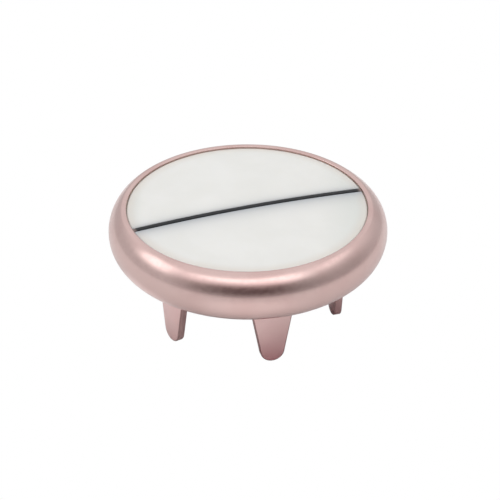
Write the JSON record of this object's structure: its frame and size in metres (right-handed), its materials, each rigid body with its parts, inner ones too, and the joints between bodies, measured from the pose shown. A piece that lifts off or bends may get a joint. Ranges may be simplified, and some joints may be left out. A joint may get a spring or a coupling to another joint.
{
  "type": "inlaid prong-back cap",
  "caption": "Round satin rose-gold cap with a domed white inlay split by a thin dark strip, and flat prongs that fold over behind a panel.",
  "frame": {"origin": "centre of the bounding box's bottom, at the height of the prong tips, on the cap's axis", "axes": "+Z along the cap's axis, from the prong tips to the inlay. -Y is the side that the main view shows. X and Y are set by the prong circle: one prong stands 15.5 degrees from -Y towards +X, and the strip runs 19.1 degrees from +X towards +Y"},
  "size_m": [0.025, 0.025, 0.0115],
  "materials": {
    "rose_gold_shell": "satin rose-gold plating",
    "rose_gold_claw": "satin rose-gold plating with sheared edges",
    "white_inlay": "polished milky resin",
    "dark_strip": "polished, dark charcoal",
    "clear_glue": "cured clear adhesive",
    "grey_filler": "moulded, matte"
  },
  "bodies": {
    "cap": {"rim_shell": "rose_gold_shell", "inlay_half_back": "white_inlay", "inlay_half_front": "white_inlay", "centre_strip": "dark_strip", "glue_film": "clear_glue", "filler_disc": "grey_filler", "claw_plate": "rose_gold_claw"},
    "prong_1_end": {"prong_1": "rose_gold_claw"},
    "prong_2_end": {"prong_2": "rose_gold_claw"},
    "prong_3_end": {"prong_3": "rose_gold_claw"},
    "prong_4_end": {"prong_4": "rose_gold_claw"},
    "prong_5_end": {"prong_5": "rose_gold_claw"}
  },
  "joints": [
    {"name": "prong_1_fold", "type": "hinge", "parent": "cap", "child": "prong_1_end", "pos_m": [0.00211, -0.00759, 0.0042], "axis": [0.9636, 0.2672, 0], "range_deg": [0, 90]},
    {"name": "prong_2_fold", "type": "hinge", "parent": "cap", "child": "prong_2_end", "pos_m": [0.00789, -0.00001, 0.0042], "axis": [-0.2723, 0.9622, 0], "range_deg": [0, 90]},
    {"name": "prong_3_fold", "type": "hinge", "parent": "cap", "child": "prong_3_end", "pos_m": [0.00276, 0.00738, 0.0042], "axis": [-0.9367, 0.3502, 0], "range_deg": [0, 90]},
    {"name": "prong_4_fold", "type": "hinge", "parent": "cap", "child": "prong_4_end", "pos_m": [-0.00617, 0.00491, 0.0042], "axis": [-0.6225, -0.7826, 0], "range_deg": [0, 90]},
    {"name": "prong_5_fold", "type": "hinge", "parent": "cap", "child": "prong_5_end", "pos_m": [-0.00657, -0.00435, 0.0042], "axis": [0.5519, -0.8339, 0], "range_deg": [0, 90]}
  ]
}
